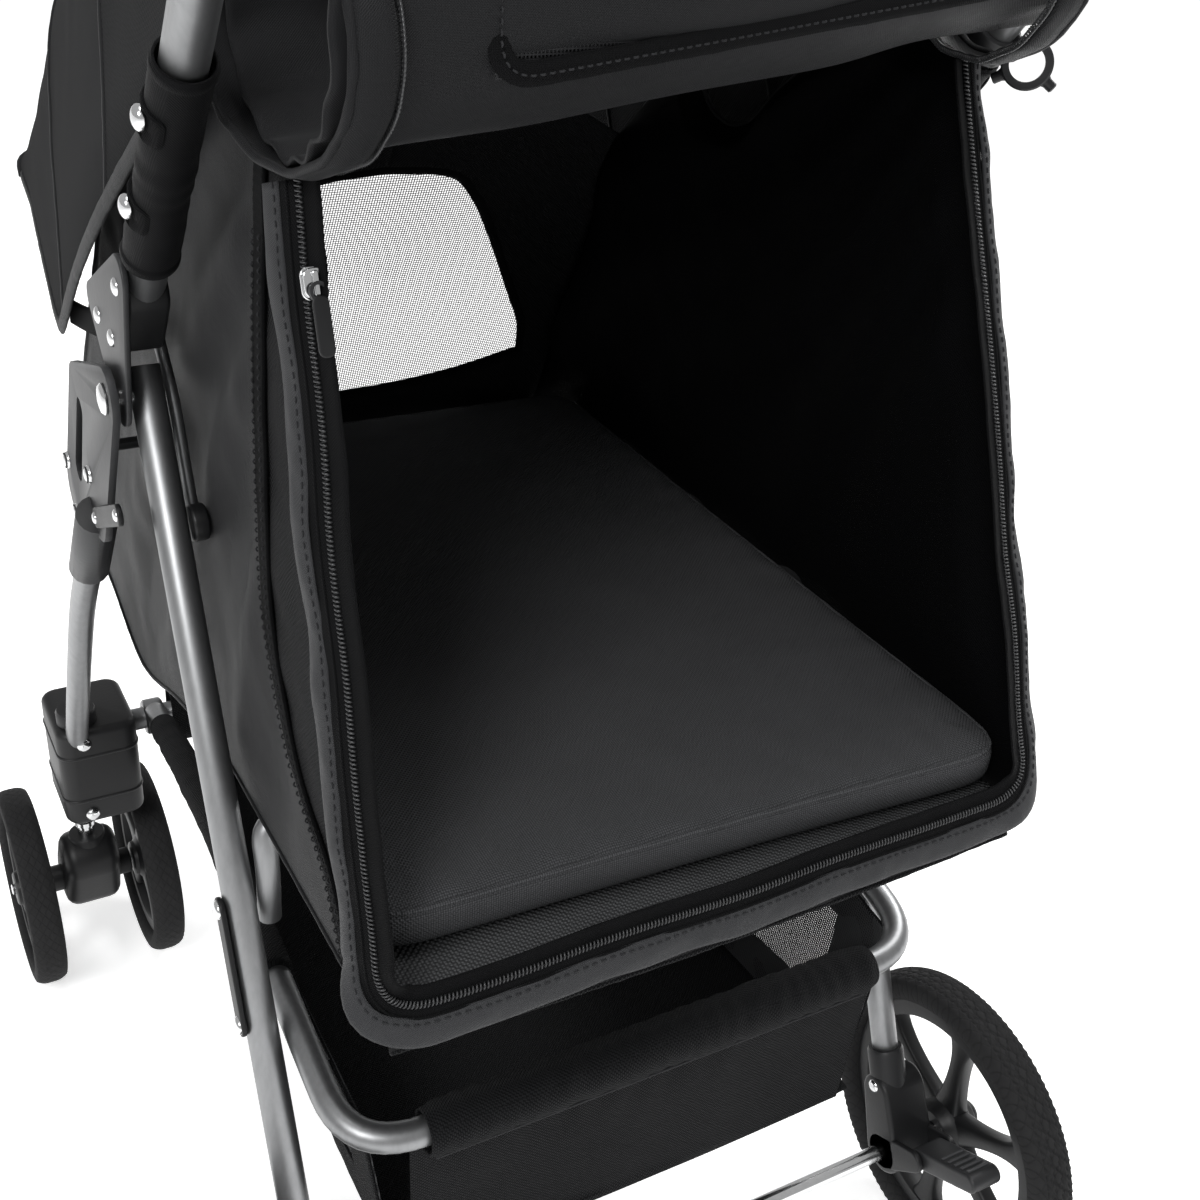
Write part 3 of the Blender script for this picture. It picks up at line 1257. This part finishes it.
def make_slider():
    """Zip slider with its bridge, and a pull that hangs down."""
    low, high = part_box("zip_slider")
    centre = Vector([(a + b) / 2 for a, b in zip(low, high)]) + PLANE_OUT * 1.6 * MM
    centre.x = -(side_out(centre.z / MM) - 1.5) * MM
    turn = Matrix((AXIS_X, PLANE_UP, PLANE_OUT)).transposed().to_4x4()
    body = Shape()
    rounded_box(body, (-4.6, -6.2, -1.9), (4.6, 6.2, -0.4), 3.2, 0.5)
    rounded_box(body, (-4.2, -5.6, 0.6), (4.2, 5.6, 2.0), 3.2, 0.5)
    rounded_box(body, (-1.1, -4.6, 1.6), (1.1, 4.6, 3.9), 0.9, 0.5)
    pull = Shape()
    rounded_box(pull, (-3.2, -27, 4.0), (3.2, -4.5, 5.5), 2.8, 0.6)
    pull.turned([(2.6, -0.8), (3.9, -0.8), (3.9, 0.8), (2.6, 0.8)], Vector((0, -3.2, 4.2)), 24,
                Vector((0.2, 0, 1)).normalized())
    for shape in (body, pull):
        shape.verts = [centre + turn @ v for v in shape.verts]
    fold(body.make("zip_slider_cast", "steel", "zip_runner", 40, ["zip_slider"]))
    fold(pull.make("zip_slider_pull", "black", "zip_runner", 40))


# ---------------------------------------------------------------- floor and cushion
def make_floor():
    def depth(u, v, p):
        return 0.5 * ripple(p, 40.0, 7.0)

    rear, front = [[vec(x, y, z) for x in (-167, -60, 60, 167)] for y, z in ((-259, 406), (294, 407))]
    left, right = [[vec(x, y, 407) for y in (-259, -80, 100, 294)] for x in (-167, 167)]
    grid = coons(rear, front, left, right, 60, 84)
    cloth("floor_cover", ruffled(grid, depth), "coarse", 3.2,
          nodes=["floor_board"], folding=False)


PAD_SKEW = 0.036


def pad_point(u, v, half, middle, top):
    """A point on a crowned pad whose sides pull in between its corners."""
    hx, hy, hz = half
    power = 20.0
    reach = (abs(u) ** power + abs(v) ** power) ** (1 / power)
    span = max(abs(u), abs(v))
    squeeze = span / reach if reach > 1e-9 else 1.0
    x = hx * u * squeeze * (1 - 0.014 * (1 - v * v) * abs(u) ** 4)
    y = hy * v * squeeze * (1 - 0.010 * (1 - u * u) * abs(v) ** 4)
    rim = max(1 - span ** 40, 0.0) ** 0.30
    crown = 0.80 + 0.20 * (1 - u * u) * (1 - v * v)
    z = hz * rim * (crown if top else 1.0)
    return vec(middle[0] + x, middle[1] + y - PAD_SKEW * x, middle[2] + (z if top else -z))


def make_cushion():
    half, middle = (169.5, 246.0, 15.0), (0.0, 3.0, 426.5)
    count = 110
    steps = [sin(pi / 2 * (2 * i / count - 1)) for i in range(count + 1)]
    shape = Shape()
    for top in (True, False):
        grid = []
        for v in steps:
            row = []
            for u in steps:
                p = pad_point(u, v, half, middle, top)
                if top:
                    span = max(abs(u), abs(v))
                    edge = max(0.0, 1 - (1 - span) / 0.22) * (1 - max(0.0, (span - 0.97) / 0.03))
                    along = p.x * 210 if abs(v) > abs(u) else p.y * 210
                    pucker = sin(along + 4 * ripple(p, 20.0, 3.0)) * edge * 0.9
                    p.z += (1.3 * ripple(p, 15.0, 5.0) + 0.6 * ripple(p, 42.0, 2.0)) * (1 - span ** 12) * MM
                    p.z += pucker * MM
                row.append(p)
            grid.append(row)
        shape.grid(grid)
    pad = shape.make("cushion_pad", "pad", "chassis", nodes=["cushion"])
    work = bmesh.new()
    work.from_mesh(pad.data)
    bmesh.ops.remove_doubles(work, verts=work.verts, dist=2e-6)
    bmesh.ops.recalc_face_normals(work, faces=work.faces)
    work.to_mesh(pad.data)
    work.free()
    pad.data.shade_smooth()
    fold(pad)
    rim = []
    for a in angles(240):
        size = max(abs(cos(a)), abs(sin(a))) / 0.993
        rim.append(pad_point(cos(a) / size, sin(a) / size, half, middle, True))
    rim.append(rim[0])
    cord_line("cushion_welt", rim, 1.5, "pad", pucker=0.3)


# ---------------------------------------------------------------- front wall
WINDOW = [(142, 466), (135, 492), (122, 516), (105, 546), (86, 577), (66, 606), (44, 625), (0, 631)]
WINDOW_SILL = [(0, 444), (48, 446), (96, 453), (142, 466)]


def front_y(z):
    return 282 - (z - 436) * 0.5505 if z < 545 else 222 - (z - 545) * 0.6477


def front_point(x, z, inset=2.0):
    return vec(x, front_y(z) - inset, z)


def make_front_wall():
    outer = [(171, 404), (side_out(500) - 2, 500), (side_out(560) - 2, 560), (side_out(634) - 2, 640)]
    sections = [
        (WINDOW_SILL, [(0, 404), (85, 404), (171, 404)], 26),
        (WINDOW[:7], outer, 44),
        ([(44, 625), (20, 630), (0, 631)], [(side_out(634) - 2, 640), (110, 668), (0, 674)], 16),
    ]
    inner_run, outer_run = [], []
    for near, far, count in sections:
        inner_run += smooth_curve([front_point(*p) for p in near], count)[:-1]
        outer_run += resampled([front_point(*p) for p in far], count)[:-1]
    inner_run.append(front_point(0, 631))
    outer_run.append(front_point(0, 674))
    for tag, s in SIDES:
        near, far = [[Vector((s * p.x, p.y, p.z)) for p in run] for run in (inner_run, outer_run)]
        grid = [[a.lerp(b, k / 7) for a, b in zip(near, far)] for k in range(8)]
        panel = ruffled(grid, lambda u, v, p: 1.3 * ripple(p, 26.0, 4.0) * sin(pi * v))
        cloth(f"cabin_front_{tag}_panel", panel, "oxford", nodes=["cabin_front"] if s > 0 else ())
    rows = []
    for i in range(46):
        half = half_window(466 + (630.5 - 466) * i / 45)
        row = []
        for j in range(51):
            x = half * (2 * j / 50 - 1)
            z = 466 + (630.5 - 466) * i / 45 - 22 * (1 - i / 45) * (1 - (x / 142) ** 2)
            row.append(front_point(x, z) + vec(0, 1.6 * ripple(vec(x, 0, z), 12.0, 3.0), 0))
        rows.append(row)
    cloth("cabin_front_net", rows, "net", 0.5)
    sill = smooth_curve([front_point(*p) for p in WINDOW_SILL], 40)
    arch = smooth_curve([front_point(*p) for p in WINDOW], 90)
    half = sill[:-1] + arch
    loop = half + mirrored(half[:-1])
    cord_line("cabin_front_binding", loop, 3.4, "tape", 0.5, pucker=0.3, normal=Vector((0, 0.9, 0.45)))


def half_window(z):
    for (x0, z0), (x1, z1) in zip(WINDOW, WINDOW[1:]):
        if z0 <= z <= z1:
            return x0 + (x1 - x0) * (z - z0) / (z1 - z0)
    return 6.0


# ---------------------------------------------------------------- hood
HOOD_TOP = [(-100, 794), (-20, 822), (90, 826), (200, 792), (300, 708), (368, 606)]
HOOD_LOW = [(-92, 786), (-64, 740), (-40, 716), (86, 628), (206, 545), (236, 536), (270, 550), (358, 590)]


def make_hood():
    """One cloth shell over three hoops, with wings that reach down beside the cabin."""
    rows, columns = 84, 96
    top = smooth_curve([vec(0, y, z) for y, z in HOOD_TOP], rows)
    low = smooth_curve([vec(0, y, z) for y, z in HOOD_LOW], rows)
    grid = []
    for i in range(rows):
        t = i / (rows - 1)
        span = 1.0 - 0.034 * abs(sin(3 * pi * t)) ** 0.8
        row = []
        for j in range(columns):
            a = pi * (1 - j / (columns - 1))
            c, h = cos(a), sin(a)
            reach = squared(c, 0.30)
            rise = abs(h) ** 0.42
            p = low[i].lerp(low[i] + (top[i] - low[i]) * span, rise)
            flare = 1 + 0.085 * (1 - rise) ** 2 * sin(pi * min(t * 1.05, 1.0))
            wing = 174.6 * reach * flare
            row.append(Vector((wing * MM, p.y, p.z)))
        grid.append(row)

    def depth(u, v, p):
        side = min(u, 1 - u) < 0.3
        soft = 2.0 * ripple(p, 11.0, 2.0) + 0.9 * ripple(p, 38.0, 5.0)
        return inside(u, v, 0.07) * soft * (0.9 if side else 1.2)

    shell = ruffled(grid, depth)
    cloth("hood_shell", shell, "oxford", 1.6, nodes=["hood_top", "hood_side_r", "hood_side_l"])
    for name, run in (("rear", shell[0]), ("front", shell[-1])):
        cord_line(f"hood_{name}_binding", run, 3.2, "satin", 0.7, pucker=0.4)
    for k, share in enumerate((1 / 3, 2 / 3)):
        row = shell[int(share * (rows - 1))]
        cord_line(f"hood_hoop_seam_{k + 1}", row, 2.2, "satin", 0.8, pucker=0.3)
    for tag, j in (("l", 0), ("r", columns - 1)):
        edge = [row[j] for row in shell]
        cord_line(f"hood_wing_{tag}_binding", edge, 5.0, "satin", 0.4, pucker=0.5, normal=AXIS_X)
        s = 1 if tag == "r" else -1
        start, end = vec(s * 180, 214, 548), vec(s * 176.6, 34, 601)
        strap = [[start.lerp(end, k / 40) + vec(0, 0, 15 * (w - 0.5) - 5 * sin(pi * k / 40))
                  for k in range(41)] for w in QUARTERS]
        cloth(f"hood_strap_{tag}", strap, "tape", 1.2)


# ---------------------------------------------------------------- rolled rear door
FLAP_SECTION = [(-84, 800), (-87, 768), (-101, 740), (-130, 725), (-164, 724), (-190, 740), (-203, 768),
                (-201, 803)]


def flap_rise(x):
    return 4.0 + 0.125 * (x + 160)


def make_flap():
    """The rolled-up rear door: a sling of cloth with a net window, hanging under the hood."""
    section = smooth_curve([vec(0, y, z) for y, z in FLAP_SECTION], 64)
    grid = []
    for i in range(120):
        share = i / 119
        x = -163 + 326 * share
        row = []
        for j, p in enumerate(section):
            v = j / 63
            lift = flap_rise(x) * (1 - abs(2 * v - 1) ** 3)
            sag = -3.0 * sin(pi * share) * sin(pi * v)
            row.append(vec(x, 0, lift + sag) + p)
        grid.append(row)

    def depth(u, v, p):
        creases = sin(p.z * 120 + p.x * 34 + 5 * ripple(p, 7.0, 6.0))
        ends = (1 - min(min(v, 1 - v) / 0.16, 1.0)) ** 2
        pull = sin(u * 60 + 3 * ripple(p, 15.0, 1.0)) * ends
        creased = 1.6 * creases * (0.4 + 0.6 * abs(ripple(p, 5.0, 3.0)))
        return creased + 1.8 * ripple(p, 16.0, 4.0) + 1.8 * pull

    body = ruffled(grid, depth)
    cloth("rear_door_sling", body, "satin", 1.6, nodes=["rear_door_flap"])
    inner = [[p + vec(0, 9 * sin(pi * j / 63) if j < 32 else 7, 10 * sin(pi * j / 63))
              for j, p in enumerate(row)] for row in body[30:-30]]
    cloth("rear_door_inner_fold", inner, "oxford", 1.4)
    window = []
    for i in range(60):
        x = -104 + 236 * i / 59
        low = 741 + flap_rise(x) + 8
        row = []
        for k in range(21):
            wave = 1.2 * ripple(vec(x, 0, 750 + k * 4), 20.0, 2.0)
            row.append(vec(x, -200.8 - wave, low + (806 - low) * k / 20))
        window.append(row)
    cloth("rear_door_net", window, "dark_net", 0.6)
    outline = [window[0][-1], window[0][0], window[-1][0], window[-1][-1]]
    frame_line = rounded([p + vec(0, -1.0, 0) for p in outline], 16, 8)
    cord_line("rear_door_net_binding", frame_line, 4.6, "tape", 0.42, pucker=0.3, normal=Vector((0, 1, 0)))
    seam = resampled([p + vec(0, -2.4, 0) for p in frame_line], 300)
    stitches("rear_door_net_stitch", seam, Vector((0, -1, 0)), 3.6)
    for tag, s in SIDES:
        ring = []
        for a in angles(96) + [2 * pi]:
            ring.append(vec(s * (160 + 9 * cos(a)), -144 + 62 * cos(a),
                            768 + flap_rise(s * 160) * 0.7 + 48 * sin(a)))
        grid = []
        for i, p in enumerate(ring):
            out = (p - Vector((p.x, -0.144, 0.770))).normalized()
            grid.append([p + out * (1.6 + 2.2 * sin(pi * w)) * MM
                         + vec(s * (15 * w - 9), 0, 0.5 * sin(i * 0.9)) for w in QUARTERS])
        cloth(f"rear_door_end_{tag}", grid, "satin", 1.6)
        cord_line(f"rear_door_end_{tag}_edge", [row[-1] for row in grid], 1.8, "satin", pucker=0.5)
        coil = Shape()
        dense = resampled([row[0] + vec(-s * 2.2, 0, 0) for row in grid], 1100)
        path = [p + Vector((0, cos(i * 1.3), sin(i * 1.3))) * 1.4 * MM for i, p in enumerate(dense)]
        coil.sweep(path, 0.5 * MM, 5)
        fold(coil.make(f"rear_door_end_{tag}_coil", "zip", "chassis"))


# ---------------------------------------------------------------- basket, bands and sleeves
def ring_x(y):
    return 171.0 if y <= -115 else 171.0 - 21.0 * min((y + 115) / 275, 1.35)


def basket_wall(s, pairs, out=0.0):
    return [vec(s * (ring_x(y) - 10 + out - (290 - z) * 0.13), y, z) for y, z in pairs]


def make_basket():
    top = [(-198, 276), (-115, 282), (-30, 270), (60, 254), (150, 236), (236, 214)]
    low = [(-198, 166), (-90, 158), (20, 156), (130, 162), (236, 170)]
    for tag, s in SIDES:
        grid = coons(basket_wall(s, low), basket_wall(s, top),
                     basket_wall(s, [(-198, 166), (-200, 220), (-198, 276)]),
                     basket_wall(s, [(236, 170), (237, 192), (236, 214)]), 90, 26)
        grid = ruffled(grid, lambda u, v, p: inside(u, v, 0.15) * 2.2 * ripple(p, 12.0, 3.0))
        cloth(f"basket_side_{tag}_net", grid, "grey_net", 0.6, "basket", nodes=[f"basket_side_{tag}"])
        for part, cut in (("top", grid[20:]), ("low", grid[:8])):
            strip = [[p + vec(s * 0.9, 0, 0) for p in row] for row in cut]
            strip = ruffled(strip, lambda u, v, p: 0.7 * ripple(p, 55.0, 8.0))
            cloth(f"basket_side_{tag}_{part}_border", strip, "oxford", 1.2, "basket")
        for part, cut in (("rear", slice(0, 9)), ("front", slice(78, 90))):
            strip = [[p + vec(s * 1.6, 0, 0) for p in row[cut]] for row in grid]
            cloth(f"basket_side_{tag}_{part}_border", strip, "oxford", 1.2, "basket")
        spots = [(s * (ring_x(-184) - 6.4 - (290 - z) * 0.13), -184, z, (s, 0, 0)) for z in (262, 176)]
        rivets(f"basket_side_{tag}_rivets", spots, "basket", 5, 2.6)
        arm = [vec(s * x, y, z) for x, y, z in RING_ARM[1:]]
        route = resampled(arm, 110)[4:-9]
        band = Shape()
        radii = [(9.6 + 0.7 * sin(i * 0.8) * ripple(p, 30.0, 1.0) + 0.5 * ripple(p, 70.0, 4.0)) * MM
                 for i, p in enumerate(route)]
        band.sweep(route, radii, 22)
        band.make(f"basket_arm_{tag}_sleeve", "oxford", "basket")

    rows = []
    for i in range(70):
        t = i / 69
        y = -207 + 447 * t
        row = []
        for j in range(49):
            c = 2 * j / 48 - 1
            sag = 7 * sin(pi * t) * (1 - c * c)
            row.append(vec((ring_x(y) - 26) * c, y, 160 + 5 * t - sag + 3 * c ** 8))
        rows.append(row)
    rows = ruffled(rows, lambda u, v, p: inside(u, v, 0.1) * 1.6 * ripple(p, 14.0, 6.0))
    cloth("basket_floor", rows, "oxford", 2.2, "basket", nodes=["basket_bag"])
    for name, y, base, peak, half in (("rear", -207, 160, 268, 141), ("front", 240, 165, 210, 122)):
        lean = -6 if name == "rear" else 0
        low_run = [vec(x, y, base - 3 * (1 - (x / half) ** 2))
                   for x in (-half + 4, -half / 2, 0, half / 2, half - 4)]
        high_run = [vec(x, y + lean, peak) for x in (-half, -half / 2, 0, half / 2, half)]
        panel = coons(low_run, high_run, [low_run[0], high_run[0]], [low_run[-1], high_run[-1]], 120, 44)

        def depth(u, v, p):
            gather = sin(p.x * 260 + 6 * ripple(p, 9.0, 2.0)) * v ** 3
            soft = 4.6 * ripple(p, 10.0, 9.0) + 1.6 * ripple(p, 30.0, 2.0)
            return inside(u, v, 0.06) * soft + gather

        cloth(f"basket_{name}_panel", ruffled(panel, depth), "oxford", 1.5, "basket")
    make_crossbar_sleeve()


def make_crossbar_sleeve():
    """Cloth sleeve gathered on the basket's rear bar."""
    rows = []
    for i in range(200):
        x = -134 + 268 * i / 199
        row = []
        for a in angles(28):
            p = vec(x, RING_REAR[0] + 12 * cos(a), RING_REAR[1] + 12 * sin(a))
            gather = 0.45 * sin(x * 0.5 + 9 * ripple(p, 22.0, 2.0)) + 1.5 * ripple(p, 34.0, 5.0)
            ends = 1.0 - 1.6 * max(0.0, abs(x) - 128) / 6
            r = 12.4 + gather * 0.7 + (2.2 * max(0.0, -sin(a)) ** 3) + ends - 1
            row.append(vec(x, RING_REAR[0] + r * cos(a), RING_REAR[1] + r * sin(a)))
        rows.append(row)
    cloth("basket_bar_sleeve", rows, "oxford", 1.2, "basket", wrap=True)
    for sign in (1, -1):
        y, z = RING_REAR[0] - 3 + sign * 3, RING_REAR[1] - 14.6
        seam = [vec(-130 + 260 * i / 120, y, z) for i in range(121)]
        cord_line(f"basket_bar_seam_{'a' if sign > 0 else 'b'}", seam, 1.0, "thread", body="basket")


def make_sleeves():
    """Cloth sleeves on the handle tubes, each with two riveted tabs."""
    across = Vector((0, -HANDLE_RUN.y, HANDLE_RUN.x))
    for tag, s in SIDES:
        end = 146 if s > 0 else 160
        rows = []
        count = 110
        for i in range(count):
            along = 33 + (end - 33) * i / (count - 1)
            centre = vec(s * HANDLE_X, *on_handle(along))
            row = []
            for a in angles(30):
                out = AXIS_X * cos(a) + across * sin(a)
                p = centre + out * 11 * MM
                edge = min(i, count - 1 - i)
                bunch = 0.6 * sin(along * 0.3 + 7 * ripple(p, 22.0, 3.0)) * abs(ripple(p, 14.0, 8.0))
                r = 11.3 + bunch + 0.9 * ripple(p, 45.0, 5.0) + (0.7 if edge in (2, 3, 4) else 0.0)
                row.append(centre + out * r * MM)
            rows.append(row)
        cloth(f"tube_sleeve_{tag}_cloth", rows, "sleeve", 1.0, "handle",
              [f"tube_sleeve_{tag}"], wrap=True)
        tabs = Shape()
        run = Vector((0, HANDLE_RUN.x, HANDLE_RUN.y))
        spots = []
        for along in (72, 128):
            centre = vec(s * (HANDLE_X + 11.2), *on_handle(along))
            rings = []
            for h, inset in ((-1.2, 1.2), (0.2, 0.2), (1.6, 0.4), (2.2, 1.6)):
                ring = []
                for a in angles(40):
                    px = squared(cos(a), 0.35) * (10.5 - inset)
                    pz = squared(sin(a), 0.35) * (9 - inset)
                    bend = -0.045 * px * px
                    ring.append(centre + (across * px + run * pz + AXIS_X * s * (h + bend)) * MM)
                rings.append(ring)
            tabs.loft(rings)
            spots.append((s * (HANDLE_X + 13.2), *on_handle(along), (s, 0, 0)))
        tabs.make(f"tube_sleeve_{tag}_tabs", "tape", "handle", 60)
        rivets(f"tube_sleeve_{tag}_rivets", spots, "handle", 5.2, 3.0)


def make_cross_band():
    rows = []
    for i in range(150):
        x = -133 + 266 * i / 149
        row = []
        for a in angles(40):
            c, d = cos(a), sin(a)
            p = vec(x, CROSS_TUBE[0] + 9 * c, CROSS_TUBE[1] + 27 * d)
            wave = 1.2 * ripple(p, 26.0, 4.0) + 0.8 * ripple(p, 60.0, 7.0)
            depth = (9.2 + wave * 0.6) * c
            row.append(vec(x, CROSS_TUBE[0] + depth, CROSS_TUBE[1] + (26 + wave) * squared(d, 0.8)))
        rows.append(row)
    cloth("front_cross_band_cloth", rows, "oxford", 1.4,
          nodes=["front_cross_band"], folding=False, wrap=True)


make_cabin_sides()
make_zip()
make_slider()
make_floor()
make_cushion()
make_front_wall()
make_hood()
make_flap()
make_basket()
make_sleeves()
make_cross_band()
